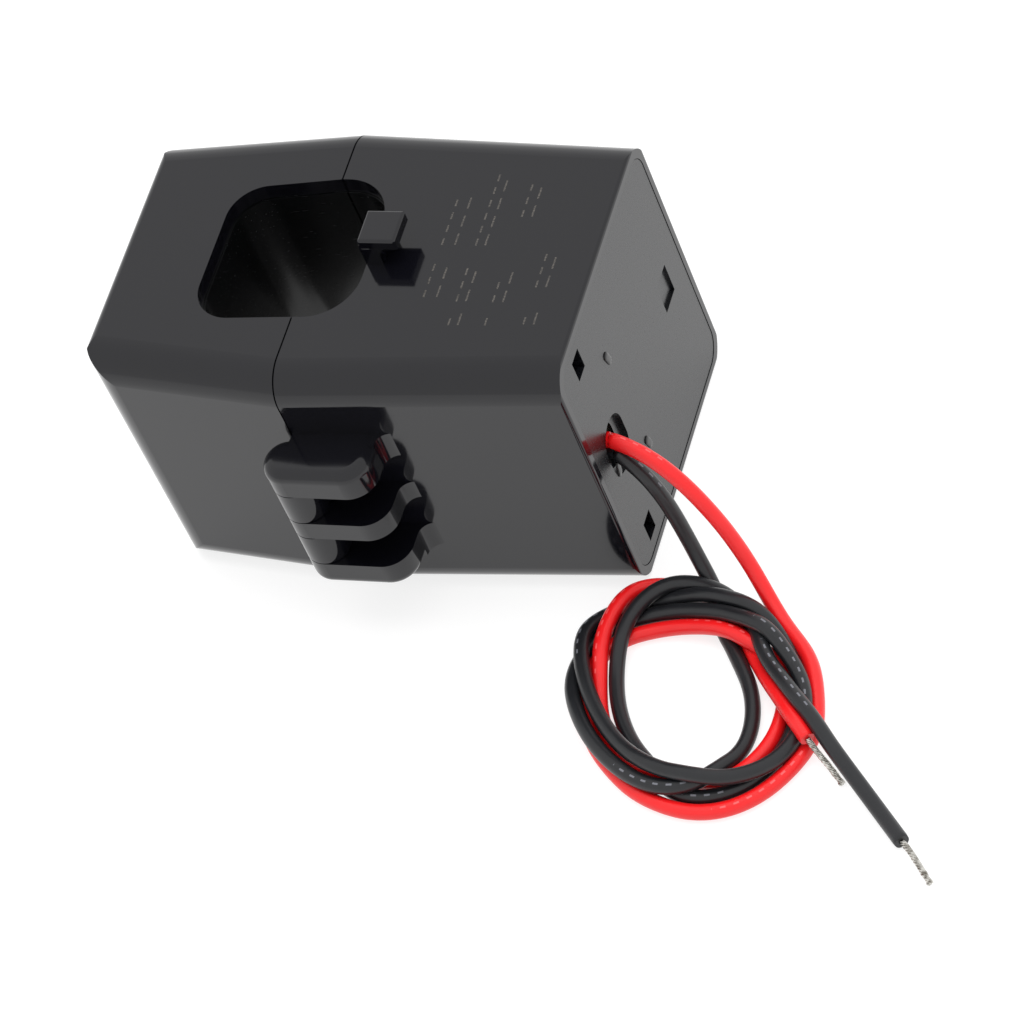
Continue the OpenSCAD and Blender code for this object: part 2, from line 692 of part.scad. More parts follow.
base_shell();
base_liner();
end_cover();
base_core();
bobbin_front();
bobbin_back();
secondary_winding();
winding_tape();
start_tail();
finish_tail();
red_splice_sleeve();
black_splice_sleeve();
red_lead_stub();
black_lead_stub();
lead_anchor();
hinge_pin();
cap_shell();
cap_liner();
cap_core();
core_spring();
red_lead();
black_lead();
lead_coil();
red_tail();
black_tail();
red_tinned_end();
black_tinned_end();
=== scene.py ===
import bpy
import numpy as np
from mathutils import Matrix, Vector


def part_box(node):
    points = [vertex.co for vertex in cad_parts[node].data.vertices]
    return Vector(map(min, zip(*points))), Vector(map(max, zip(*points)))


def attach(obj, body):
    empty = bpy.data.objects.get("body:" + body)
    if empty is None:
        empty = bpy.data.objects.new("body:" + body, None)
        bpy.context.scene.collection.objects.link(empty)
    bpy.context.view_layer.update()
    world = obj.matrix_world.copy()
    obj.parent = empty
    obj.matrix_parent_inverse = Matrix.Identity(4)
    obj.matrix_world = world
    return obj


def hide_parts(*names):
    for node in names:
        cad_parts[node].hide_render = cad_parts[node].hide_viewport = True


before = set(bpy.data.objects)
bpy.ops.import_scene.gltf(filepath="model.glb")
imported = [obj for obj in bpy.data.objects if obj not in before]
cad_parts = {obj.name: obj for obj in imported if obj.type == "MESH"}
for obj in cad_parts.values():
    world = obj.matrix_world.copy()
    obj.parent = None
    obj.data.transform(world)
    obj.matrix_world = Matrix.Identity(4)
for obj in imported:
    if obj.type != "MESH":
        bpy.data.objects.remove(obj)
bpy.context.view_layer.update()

bl_info = {
    "name": "Split-core transformer dressing",
    "version": (1, 0, 0),
    "blender": (4, 5, 0),
    "location": "3D View > Sidebar > Transformer",
    "description": "Leads, finishes, face marking and a plain studio for a split-core current transformer",
    "category": "Object",
}

MM = 0.001

# Where the leads run, in millimetres: out of the cover, down to the floor, round the loose
# coil and out along the tails. The last column of each row is the height of the middle.
RED_ROUTE = [
    (27, -9.8, 16.4), (28.4, -9.9, 16.2), (29.8, -10.4, 15.8), (31.3, -10.9, 15.1),
    (32.9, -11.5, 13.7), (34.5, -12.1, 11.8), (35.7, -12.7, 9.6), (37.1, -13.2, 6.9),
    (38.1, -13.9, 4.5), (38.9, -14.9, 2.7), (39.9, -16.2, 1.4), (41.3, -18, 0.8),
    (43.2, -19.9, 0.7), (45.3, -22.9, 0.7), (46.4, -26, 0.7), (46.7, -29.2, 0.7),
    (46.3, -32.1, 0.7), (44.8, -34.9, 0.7), (41.7, -37.8, 0.7), (37, -38.6, 0.7),
    (32.8, -37, 0.7), (28.7, -34.1, 0.7), (25.2, -29.7, 0.7), (24.2, -25.5, 0.7),
    (24.9, -21.2, 0.7), (28.5, -19.2, 1), (32.9, -18.7, 1.6), (37.3, -19.5, 2.4),
    (39.5, -20.2, 2.5), (41.8, -21.9, 1.9), (43.4, -24.5, 1), (43.9, -27.6, 0.7),
    (43.4, -31.2, 0.7), (41, -34.4, 0.7), (38.4, -35.5, 0.9), (35.5, -35.6, 1.5),
    (32.6, -34.9, 1.8), (29.9, -33.5, 1.4), (27.2, -30.6, 1.1), (25.6, -26.8, 1.2),
    (24.9, -22.8, 1.8), (25.1, -18.6, 2.3), (26.2, -15.3, 2), (27.8, -13.8, 1.2),
    (29.9, -13.5, 0.8), (31.9, -14.8, 0.9), (34, -16.3, 1.7), (36, -17.4, 1.6),
    (37.8, -18.9, 0.8), (39.3, -20.8, 0.8), (41.2, -23.5, 1.4), (43.2, -26.2, 2.3),
    (45.1, -28.7, 2.8), (47.5, -31.4, 2.8),
]
BLACK_ROUTE = [
    (27, -9.8, 14.7), (28.1, -10, 14.4), (29, -10.5, 13.5), (29.8, -10.8, 12.2),
    (30.4, -11, 10.4), (31, -11.2, 8.2), (31.4, -11.5, 5.9), (32.1, -12.2, 3.6),
    (32.9, -13.2, 1.8), (33.9, -14.9, 0.8), (35.6, -18.1, 0.7), (37.3, -20.8, 0.7),
    (39, -23.1, 0.7), (40.5, -25.7, 0.7), (41.2, -28.4, 0.7), (41.3, -31, 0.8),
    (40.5, -33.5, 1.3), (39.2, -35.5, 1.9), (37.3, -36.9, 2.1), (34.5, -37, 2.1),
    (31.5, -36, 2.1), (27.3, -32.8, 2.1), (24.3, -28.2, 2), (22.8, -24.1, 1.6),
    (23, -21.1, 1), (24.5, -19, 0.7), (26.7, -18, 0.9), (29.3, -17.5, 1.5),
    (33.7, -17.6, 2.6), (38.1, -18.9, 3.4), (40.3, -19.8, 3.4), (42.5, -21.3, 3),
    (44.1, -23.2, 2.3), (45.6, -25.4, 2.1), (46.4, -28.6, 2.1), (46.1, -31.2, 2.1),
    (44.8, -33.5, 2.1), (42, -35.4, 2.5), (37.9, -36.2, 3.2), (33.6, -35.4, 3.2),
    (29.1, -32.2, 2.8), (25.8, -28, 2.7), (23.8, -24.2, 2.8), (22.9, -21.4, 2.3),
    (23.3, -18.4, 1.2), (25.4, -16.5, 0.8), (28, -15.8, 0.9), (31.2, -15.8, 1.9),
    (33.6, -16.1, 3), (36, -16.6, 3.5), (38.6, -17.4, 3), (40.9, -18.6, 2.2),
    (42.7, -20.6, 1.5), (44.1, -23.2, 0.9), (45, -26.7, 0.7), (45.3, -29.5, 0.7),
    (44.7, -32.1, 0.7), (43.4, -34.3, 0.7), (41.5, -36, 0.7), (38.8, -37.1, 0.7),
    (36, -36.9, 0.7), (34, -35.6, 0.7), (32.3, -33.8, 0.7), (29.8, -31.1, 0.7),
    (28, -28, 0.7), (27, -25.2, 0.8), (26.5, -22.9, 1.4), (26.5, -20.5, 2.1),
    (27.1, -17.7, 2.6), (28.4, -15.6, 2.7), (30.6, -14.4, 2.6), (33.2, -14.5, 2.2),
    (35.4, -15.4, 2.2), (37.3, -17.1, 2.1), (38.6, -18.8, 2), (39.6, -20.4, 2.1),
    (40.8, -22.2, 2.5), (42.4, -24.3, 3.1), (44.1, -26.1, 3.5), (45.6, -27.7, 3.8),
    (47.1, -29.3, 3.7), (48.6, -30.9, 3.4), (50.1, -32.4, 2.8), (51.8, -34, 2),
    (53.6, -35.8, 1.3), (55.6, -37.9, 0.9), (57.7, -40.2, 0.7),
]
# The bare ends, in millimetres, each moved so that it starts where its lead stops.
RED_TIP = [(47.6, -32.1, 3.5), (48.6, -33, 2.9), (49.6, -33.8, 2.1), (50.5, -34.6, 1.5), (51, -35.1, 1.3)]
BLACK_TIP = [
    (57.7, -40.2, 0.75), (58.6, -41.1, 0.8), (59.6, -42.3, 0.7), (60.5, -43.4, 0.65), (61.1, -44.1, 0.6),
]


def shade(hex_text):
    """The linear colour of an sRGB hex value, with full alpha."""
    value = np.array([int(hex_text[i:i + 2], 16) / 255 for i in (1, 3, 5)])
    linear = np.where(value <= 0.04045, value / 12.92, ((value + 0.055) / 1.055) ** 2.4)
    return (*linear.tolist(), 1.0)


def through(points, step):
    """A smooth line through given points: a centripetal Catmull-Rom curve, resampled at even
    steps."""
    p = np.asarray(points, float)
    p = np.vstack([2 * p[0] - p[1], p, 2 * p[-1] - p[-2]])
    gap = np.sqrt(np.linalg.norm(np.diff(p, axis=0), axis=1))
    t = np.concatenate([[0], np.cumsum(gap)])
    s = np.linspace(0, 1, 24, endpoint=False)[None, :, None]
    a, b, c, d = (p[i:len(p) - 3 + i, None] for i in range(4))
    t0, t1, t2, t3 = (t[i:len(p) - 3 + i, None, None] for i in range(4))
    u = t1 + s * (t2 - t1)
    ab = (t1 - u) / (t1 - t0) * a + (u - t0) / (t1 - t0) * b
    bc = (t2 - u) / (t2 - t1) * b + (u - t1) / (t2 - t1) * c
    cd = (t3 - u) / (t3 - t2) * c + (u - t2) / (t3 - t2) * d
    abc = (t2 - u) / (t2 - t0) * ab + (u - t0) / (t2 - t0) * bc
    bcd = (t3 - u) / (t3 - t1) * bc + (u - t1) / (t3 - t1) * cd
    line = ((t2 - u) / (t2 - t1) * abc + (u - t1) / (t2 - t1) * bcd).reshape(-1, 3)
    line = np.vstack([line, p[-2]])
    run = np.concatenate([[0], np.cumsum(np.linalg.norm(np.diff(line, axis=0), axis=1))])
    even = np.linspace(0, run[-1], int(round(run[-1] / step)) + 1)
    return np.column_stack([np.interp(even, run, line[:, k]) for k in range(3)])


def evened(line, spread=4.0):
    """Takes the small wobbles out of a line: every point becomes the bell-weighted mean of its
    neighbours, with the bell's spread counted in points and the line mirrored through its two ends."""
    reach = int(3 * spread)
    bell = np.exp(-0.5 * (np.arange(-reach, reach + 1) / spread) ** 2)
    bell /= bell.sum()
    before = 2 * line[0] - line[reach:0:-1]
    after = 2 * line[-1] - line[-2:-reach - 2:-1]
    padded = np.vstack([before, line, after])
    return np.column_stack([np.convolve(padded[:, k], bell, mode="valid") for k in range(3)])


def settle(lines, thick, rounds=130):
    """Lays limp leads on the floor and on each other. Each round draws every point towards its
    given place and lets it fall a little, parts any two stretches nearer than one thickness and
    lifts what is below the floor. Every other round takes a little of the wobble out, as the lead's
    stiffness does, and a last smoothing leaves no bend tighter than a lead can take. What is high or
    near the exit isn't moved by the rounds."""
    pull, fall = 0.05, 0.02
    still_above, loose_below, held_points = 8.0, 5.0, 20.0
    round_spread, last_spread = 1.4, 2.2
    count = [len(line) for line in lines]
    ends = np.cumsum(count)[:-1]
    home = np.vstack(lines)
    p = home.copy()
    owner = np.repeat(np.arange(len(lines)), count)
    place = np.concatenate([np.arange(n) for n in count])
    same = (owner[:, None] == owner[None, :]) & (np.abs(place[:, None] - place[None, :]) < 5 * thick)
    low = np.clip((still_above - home[:, 2]) / (still_above - loose_below), 0, 1)
    free = (low * np.clip(place / held_points, 0, 1))[:, None]
    for k in range(rounds):
        p = p + free * (pull * (home - p) - (0.0, 0.0, fall))
        gap = p[:, None, :] - p[None, :, :]
        far = np.sqrt((gap ** 2).sum(axis=2))
        hit = (far < thick) & ~same
        push = np.where(hit, (thick - far) / np.maximum(far, 1e-6), 0)[:, :, None] * gap
        p += 0.5 * free * push.sum(axis=1) / np.maximum(hit.sum(axis=1), 1)[:, None]
        if k % 2:
            calm = np.vstack([evened(part, round_spread) for part in np.split(p, ends)])
            p += 0.5 * free * (calm - p)
        p[:, 2] = np.maximum(p[:, 2], thick / 2)
    return [evened(part, last_spread) for part in np.split(p, ends)]


def frames_along(path):
    """Two directions square to a line at every point: the first stays level, to the right of the way
    the line runs, and the second is square to the line and to the first."""
    way = np.gradient(path, axis=0)
    way /= np.linalg.norm(way, axis=1)[:, None]
    side = np.cross(way, (0.0, 0.0, 1.0))
    side /= np.linalg.norm(side, axis=1)[:, None]
    return side, np.cross(side, way)


def quad_grid(rows, cols, ring=False):
    """Faces of a grid of points in rows by columns: every four neighbours make one. A ring's last
    column is joined to its first."""
    i, j = np.meshgrid(np.arange(rows - 1), np.arange(cols if ring else cols - 1), indexing="ij")
    k = (j + 1) % cols
    corners = [i * cols + j, i * cols + k, (i + 1) * cols + k, (i + 1) * cols + j]
    return np.stack(corners, axis=-1).reshape(-1, 4)


def tube_mesh(name, grids, body, uv=None):
    """One object from tubes, each a grid of points in rows along by columns round, with one face
    closing each end. Where uv gives the run along the first tube, its map holds that and the share
    of a turn."""
    faces = []
    start = 0
    for grid in grids:
        rows, cols = grid.shape[:2]
        first = np.arange(cols)
        faces += (quad_grid(rows, cols, ring=True) + start).tolist()
        faces += [(first[::-1] + start).tolist(), (first + (rows - 1) * cols + start).tolist()]
        start += rows * cols
    mesh = bpy.data.meshes.new(name)
    mesh.from_pydata(np.vstack([grid.reshape(-1, 3) for grid in grids]).tolist(), [], faces)
    if uv is not None:
        rows, cols = grids[0].shape[:2]
        i, j = np.meshgrid(np.arange(rows - 1), np.arange(cols), indexing="ij")
        corners = [np.stack(pair, -1) for pair in ((i, j), (i, j + 1), (i + 1, j + 1), (i + 1, j))]
        spot = np.stack(corners, axis=2).reshape(-1, 2)
        flat = np.zeros((len(mesh.loops), 2))
        flat[:len(spot)] = np.column_stack([uv[spot[:, 0]], spot[:, 1] / cols])
        mesh.uv_layers.new(name="run").data.foreach_set("uv", flat.ravel())
    sides = np.empty(len(mesh.polygons), int)
    mesh.polygons.foreach_get("loop_total", sides)
    mesh.polygons.foreach_set("use_smooth", sides == 4)
    mesh.update()
    obj = bpy.data.objects.new(name, mesh)
    bpy.context.scene.collection.objects.link(obj)
    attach(obj, body)
    return obj


def tube(name, path, radius, body, around=20):
    """A round tube: a circle of the given radius carried square along the path. Its map runs in
    metres along the lead and once round it."""
    side, up = frames_along(path)
    turn = np.linspace(0, 2 * np.pi, around, endpoint=False)
    run = np.concatenate([[0], np.cumsum(np.linalg.norm(np.diff(path, axis=0), axis=1))])
    # the cut ends are drawn in a little
    ease = np.ones(len(path))
    ease[0] = ease[-1] = 0.93
    circle = np.cos(turn)[None, :, None] * side[:, None] + np.sin(turn)[None, :, None] * up[:, None]
    points = path[:, None] + radius * ease[:, None, None] * circle
    return tube_mesh(name, [points], body, uv=run)


def twisted_end(name, path, strand, turns, splay, body, strands=7):
    """Bare strands twisted together and dipped in solder, one down the middle and the rest round it:
    each outer strand's middle is a helix round the path whose radius changes a little towards the
    tip, and its own radius swells where solder holds it."""
    side, up = frames_along(path)
    rows = len(path)
    t = np.linspace(0, 1, rows)
    ring = np.linspace(0, 2 * np.pi, 10, endpoint=False)
    pieces = []
    for k in range(strands):
        angle = 2 * np.pi * (turns * t + k / (strands - 1))
        reach = 0.0 if k == 0 else strand * 1.9 * (1 + splay * t ** 3 * np.sin(k * 2.1))
        outward = np.cos(angle)[:, None] * side + np.sin(angle)[:, None] * up
        middle = path + np.reshape(reach, (-1, 1)) * outward
        a, b = frames_along(middle)
        size = strand * (1 + 0.10 * np.sin(9 * t + 1.7 * k) + 0.06 * np.sin(23 * t + k))
        size[-1] *= 0.45
        circle = np.cos(ring)[None, :, None] * a[:, None] + np.sin(ring)[None, :, None] * b[:, None]
        pieces.append(middle[:, None] + size[:, None, None] * circle)
    return tube_mesh(name, pieces, body)


def node(tree, kind, settings=None, links=None):
    """Adds a shader node of this kind, sets its properties and sockets, and links sockets to others."""
    made = tree.nodes.new(kind)
    for key, value in (settings or {}).items():
        if isinstance(key, str) and hasattr(made, key):
            setattr(made, key, value)
        else:
            made.inputs[key].default_value = value
    for key, source in (links or {}).items():
        tree.links.new(source, made.inputs[key])
    return made


def finish(name, base, roughness, **sockets):
    """A new material with one Principled shader, its constant values on its own sockets. The base is
    a linear colour with alpha."""
    mat = bpy.data.materials.new(name)
    mat.use_nodes = True
    shader = mat.node_tree.nodes["Principled BSDF"]
    shader.inputs["Base Color"].default_value = base
    shader.inputs["Roughness"].default_value = roughness
    for key, value in sockets.items():
        shader.inputs[key.replace("_", " ")].default_value = value
    return mat, mat.node_tree, shader


def mixed(tree, low, high, share):
    """The Mix node between two colours by a share."""
    return node(tree, "ShaderNodeMix", {"data_type": "RGBA", 6: low, 7: high}, {0: share})


def relief(tree, shader, height, strength, depth):
    """Gives a shader a relief of this depth, in metres, from a height."""
    bump = node(tree, "ShaderNodeBump", {"Strength": strength, "Distance": depth}, {"Height": height})
    tree.links.new(bump.outputs[0], shader.inputs["Normal"])


def maths(tree, operation, first, second):
    """The output of a Math node on two inputs, each a number or another node's output."""
    given = {0: first, 1: second}
    fixed = {key: value for key, value in given.items() if isinstance(value, (int, float))}
    linked = {key: value for key, value in given.items() if key not in fixed}
    return node(tree, "ShaderNodeMath", {"operation": operation, **fixed}, linked).outputs[0]


def ramp(tree, source, stops):
    """A colour ramp with the given (place, colour) stops."""
    made = node(tree, "ShaderNodeValToRGB", links={"Fac": source})
    for k, (place, colour) in enumerate(stops):
        stop = made.color_ramp.elements[k] if k < 2 else made.color_ramp.elements.new(place)
        stop.position = place
        stop.color = (*colour[:3], 1)
    return made


def gloss_plastic(name, base, roughness, dust):
    """ABS moulded in a polished steel tool: near-black, mirror-like, with a faint long waviness from
    shrinkage, hairline rubbing marks and, where dust is set high, pale specks. The base is a linear
    colour with alpha."""
    mat, tree, shader = finish(name, base, roughness, IOR=1.5)
    place = node(tree, "ShaderNodeTexCoord").outputs["Object"]
    # shrinkage waves about 9 mm long
    wave = node(tree, "ShaderNodeTexNoise", {"Scale": 110.0, "Detail": 1.0}, {"Vector": place})
    # rubbing marks: a noise drawn out about 40 times along one direction, about 0.2 mm wide
    drawn_out = {"Rotation": (0.3, 0.5, 0.7), "Scale": (140, 5200, 5200)}
    turned = node(tree, "ShaderNodeMapping", drawn_out, {"Vector": place})
    rub = node(tree, "ShaderNodeTexNoise", {"Scale": 1.0, "Detail": 2.0}, {"Vector": turned.outputs[0]})
    marks = ramp(tree, rub.outputs["Fac"], [(0.66, (0, 0, 0)), (0.74, (1, 1, 1))])
    # places for dust specks 0.2 mm across, each in a cell of 2.4 mm
    cells = node(tree, "ShaderNodeTexVoronoi", {"Scale": 420.0}, {"Vector": place})
    spot = ramp(tree, cells.outputs["Distance"], [(0.035, (1, 1, 1)), (0.06, (0, 0, 0))])
    some = maths(tree, "GREATER_THAN", cells.outputs["Color"], 1 - dust)
    speck = maths(tree, "MULTIPLY", spot.outputs["Color"], some)
    tone = mixed(tree, base, shade("#8d8f92"), speck)
    tree.links.new(tone.outputs[2], shader.inputs["Base Color"])
    span = {"To Min": roughness, "To Max": roughness + 0.1}
    rough = node(tree, "ShaderNodeMapRange", span, {"Value": marks.outputs["Color"]})
    tree.links.new(rough.outputs[0], shader.inputs["Roughness"])
    relief(tree, shader, wave.outputs["Fac"], 0.25, 0.00002)
    return mat


def paint(node_name, mat):
    """Gives a carried-over node its finish in every slot."""
    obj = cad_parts[node_name]
    if not obj.data.materials:
        obj.data.materials.append(mat)
    for k in range(len(obj.data.materials)):
        obj.data.materials[k] = mat


def insulation(name, base, lift, print_tone, roughness):
    """PVC extruded over stranded wire and drawn over guides: satin, with faint lengthwise drawing
    lines, slight lumps from the strands inside and rows of short printed dashes along one side."""
    mat, tree, shader = finish(name, shade(base), roughness, IOR=1.5)
    spot = node(tree, "ShaderNodeUVMap", {"uv_map": "run"}).outputs["UV"]
    place = node(tree, "ShaderNodeTexCoord").outputs["Object"]
    part = node(tree, "ShaderNodeSeparateXYZ", links={"Vector": spot})
    # drawing lines run the length of the lead, about 0.1 mm apart round it
    drawn = node(tree, "ShaderNodeMapping", {"Scale": (120, 44, 1)}, {"Vector": spot})
    line = node(tree, "ShaderNodeTexNoise", {"Scale": 1.0, "Detail": 3.0}, {"Vector": drawn.outputs[0]})
    lump = node(tree, "ShaderNodeTexNoise", {"Scale": 500.0, "Detail": 2.0}, {"Vector": place})
    both = node(tree, "ShaderNodeMath", {"operation": "MULTIPLY_ADD", 1: 0.5},
                {0: line.outputs["Fac"], 2: lump.outputs["Fac"]})
    tone = mixed(tree, shade(base), shade(lift), lump.outputs["Fac"])
    # printed dashes, each given by half its length and half its pitch, in metres
    half_dash, half_pitch = 0.00025, 0.0006
    half_group, half_spacing = 0.005, 0.022
    # where round the lead the print lies, and how far to each side of that, as shares of a turn
    print_at, print_half = 0.3, 0.02
    step = maths(tree, "PINGPONG", part.outputs["X"], half_pitch)
    stretch = maths(tree, "PINGPONG", part.outputs["X"], half_spacing)
    off = maths(tree, "ABSOLUTE", maths(tree, "SUBTRACT", part.outputs["Y"], print_at), 0.0)
    dash = maths(tree, "LESS_THAN", step, half_dash)
    group = maths(tree, "LESS_THAN", stretch, half_group)
    band = maths(tree, "LESS_THAN", off, print_half)
    mask = maths(tree, "MULTIPLY", maths(tree, "MULTIPLY", dash, group), band)
    final = node(tree, "ShaderNodeMix", {"data_type": "RGBA", 7: shade(print_tone)},
                 {0: mask, 6: tone.outputs[2]})
    tree.links.new(final.outputs[2], shader.inputs["Base Color"])
    relief(tree, shader, both.outputs[0], 0.5, 0.00003)
    return mat


def plain(name, base, other, roughness, scale, depth, **sockets):
    """A moulded or drawn finish: two near tones mixed by a noise, and a fine relief from it."""
    mat, tree, shader = finish(name, shade(base), roughness, **sockets)
    place = node(tree, "ShaderNodeTexCoord").outputs["Object"]
    grain = node(tree, "ShaderNodeTexNoise", {"Scale": scale, "Detail": 4.0}, {"Vector": place})
    tone = mixed(tree, shade(base), shade(other), grain.outputs["Fac"])
    tree.links.new(tone.outputs[2], shader.inputs["Base Color"])
    relief(tree, shader, grain.outputs["Fac"], 0.6, depth)
    return mat


def lined(name, base, other, roughness, width, axis, **sockets):
    """Parallel lines of two tones by turns, each of a real width across one direction: strip edges
    in a core, wires in a winding."""
    mat, tree, shader = finish(name, shade(base), roughness, **sockets)
    place = node(tree, "ShaderNodeTexCoord").outputs["Object"]
    # at a scale of one the texture repeats every 0.314 m, and one repeat holds two lines
    waves = {"bands_direction": axis, "Scale": 0.314 / width / 2, "Distortion": 0.3,
             "Detail": 1.0, "Detail Scale": 2.0}
    band = node(tree, "ShaderNodeTexWave", waves, {"Vector": place})
    tone = mixed(tree, shade(base), shade(other), band.outputs["Fac"])
    tree.links.new(tone.outputs[2], shader.inputs["Base Color"])
    relief(tree, shader, band.outputs["Fac"], 0.6, 0.00004)
    return mat


class HousingLook(bpy.types.PropertyGroup):
    """How the moulded housing looks"""
    plastic: bpy.props.FloatVectorProperty(
        name="Housing plastic", description="Colour of the moulded housing", subtype="COLOR",
        default=shade("#0b0b10")[:3])
    gloss: bpy.props.FloatProperty(
        name="Roughness", description="Roughness of the polished moulding", default=0.09,
        min=0, max=1, subtype="FACTOR")
    dust: bpy.props.FloatProperty(
        name="Dust", description="Higher puts pale specks in more places", default=0.03,
        min=0, max=1, subtype="FACTOR")


class LeadLook(bpy.types.PropertyGroup):
    """Sizes of the two leads"""
    thickness: bpy.props.FloatProperty(
        name="Lead thickness", description="Outside of the insulation", default=1.45 * MM,
        min=0.5 * MM, max=4 * MM, subtype="DISTANCE", unit="LENGTH")
    strand: bpy.props.FloatProperty(
        name="Strand radius", description="Radius of one tinned strand", default=0.1 * MM,
        min=0.05 * MM, max=0.5 * MM, subtype="DISTANCE", unit="LENGTH")


class StageLook(bpy.types.PropertyGroup):
    """The paper floor and the light"""
    floor: bpy.props.FloatVectorProperty(
        name="Floor", description="Colour of the paper floor", subtype="COLOR",
        default=shade("#959595")[:3])
    glow: bpy.props.FloatProperty(
        name="Floor glow", description="Light that the paper lets through", default=0.76, min=0)
    sky: bpy.props.FloatProperty(
        name="Surround", description="Strength of the white surround", default=1.0, min=0)
    lamp: bpy.props.FloatProperty(
        name="Overhead light", description="Power of the soft overhead light in watts", default=9.0, min=0)


class SetStage(bpy.types.Operator):
    """Camera, pale floor, white surround and soft overhead light"""
    bl_idname = "transformer.set_stage"
    bl_label = "Set the stage"

    def execute(self, context):
        look = context.scene.stage_look
        data = bpy.data.cameras.new("studio_camera")
        data.sensor_width = 36
        data.lens = 174.49
        data.clip_start = 0.01
        data.clip_end = 20
        camera = bpy.data.objects.new("studio_camera", data)
        right = (0.92094, 0.26252, -0.28801)
        up = (-0.03847, 0.79669, 0.60317)
        back = (0.38779, -0.54440, 0.74380)
        turn = Matrix((right, up, back)).transposed().to_4x4()
        camera.matrix_world = Matrix.Translation((0.18983, -0.25666, 0.34223)) @ turn
        context.scene.collection.objects.link(camera)
        context.scene.camera = camera
        world = bpy.data.worlds.new("white_surround")
        world.use_nodes = True
        world.node_tree.nodes["Background"].inputs["Color"].default_value = (1, 1, 1, 1)
        world.node_tree.nodes["Background"].inputs["Strength"].default_value = look.sky
        context.scene.world = world
        lamp = bpy.data.lights.new("overhead_softbox", "AREA")
        lamp.energy = look.lamp
        lamp.size = 1.1
        held = bpy.data.objects.new("overhead_softbox", lamp)
        held.location = (0.1, 0.25, 1.0)
        held.rotation_euler = (-0.24, 0.1, 0)
        held.visible_glossy = False
        context.scene.collection.objects.link(held)
        # a gently dished paper floor, a hair below the part: beyond the flat middle its height grows
        # with the square of the distance
        count, half_width, flat_radius, dish, below = 33, 1.6, 0.9, 0.05, 0.00002
        span = np.linspace(-half_width, half_width, count)
        x, y = np.meshgrid(span, span, indexing="ij")
        far = np.maximum(np.hypot(x, y) - flat_radius, 0)
        points = np.stack([x, y, dish * far ** 2 - below], axis=-1)
        floor = bpy.data.meshes.new("paper_floor")
        quads = quad_grid(count, count)[:, ::-1]
        floor.from_pydata(points.reshape(-1, 3).tolist(), [], quads.tolist())
        obj = bpy.data.objects.new("paper_floor", floor)
        context.scene.collection.objects.link(obj)
        # translucent paper lit from below, so that what stands on it throws only a faint shadow
        mat, tree, shader = finish("lit_paper", (*look.floor, 1), 0.9, Specular_IOR_Level=0.1,
                                   Emission_Color=shade("#ffffff"), Emission_Strength=look.glow)
        grain = node(tree, "ShaderNodeTexNoise", {"Scale": 900.0, "Detail": 2.0},
                     {"Vector": node(tree, "ShaderNodeTexCoord").outputs["Object"]})
        relief(tree, shader, grain.outputs["Fac"], 0.05, 0.0001)
        floor.materials.append(mat)
        context.scene.view_settings.view_transform = "Standard"
        context.scene.view_settings.look = "None"
        return {"FINISHED"}


class LayLeads(bpy.types.Operator):
    """The red and black leads, laid loose in their coil, and their tinned ends"""
    bl_idname = "transformer.lay_leads"
    bl_label = "Lay the leads"

    def execute(self, context):
        look = context.scene.lead_look
        thick = look.thickness / MM
        lines = settle([evened(through(route, 0.5)) for route in (RED_ROUTE, BLACK_ROUTE)], thick)
        red, black = (through(line[::3], 0.4) * MM for line in lines)
        red_mat = insulation("red_extruded_vinyl", "#dc1216", "#e4181b", "#ee5557", 0.32)
        black_mat = insulation("black_extruded_vinyl", "#141518", "#1c1d20", "#66676e", 0.34)
        tin, tree, shader = finish("solder_dipped_strands", shade("#c9c6be"), 0.22, Metallic=1.0)
        place = node(tree, "ShaderNodeTexCoord").outputs["Object"]
        lumps = node(tree, "ShaderNodeTexNoise", {"Scale": 2600.0, "Detail": 3.0}, {"Vector": place})
        tone = ramp(tree, lumps.outputs["Fac"], [(0.3, shade("#7d786f")), (0.6, shade("#dcdad4"))])
        tree.links.new(tone.outputs["Color"], shader.inputs["Base Color"])
        relief(tree, shader, lumps.outputs["Fac"], 0.8, 0.00008)
        for name, line, tip, mat, nodes, cad_tip in (
            ("red_wire", red, RED_TIP, red_mat, ("red_lead", "red_tail", "lead_coil"), "red_tinned_end"),
            ("black_wire", black, BLACK_TIP, black_mat, ("black_lead", "black_tail"), "black_tinned_end"),
        ):
            wire = tube(name, line, look.thickness / 2, "base")
            wire.data.materials.append(mat)
            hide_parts(*nodes)
            ends = through(tip, 0.06)
            ends += line[-1] / MM - ends[0]
            end = twisted_end(name + "_strands", ends * MM, look.strand, 2.4, 0.25, "base")
            end.data.materials.append(tin)
            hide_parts(cad_tip)
        return {"FINISHED"}


class FinishHousing(bpy.types.Operator):
    """Polished black plastic on the two shells, their liners and the end cover"""
    bl_idname = "transformer.finish_housing"
    bl_label = "Finish the housing"

    def execute(self, context):
        look = context.scene.housing_look
        shell = gloss_plastic("polished_black_ABS", (*look.plastic, 1), look.gloss, look.dust)
        dark = gloss_plastic("black_ABS_liner", shade("#08090a"), look.gloss + 0.12, look.dust / 3)
        cover = gloss_plastic("black_ABS_cover", shade("#101114"), look.gloss + 0.18, look.dust)
        for name in ("base_shell", "cap_shell"):
            paint(name, shell)
        for name in ("base_liner", "cap_liner"):
            paint(name, dark)
        paint("end_cover", cover)
        return {"FINISHED"}


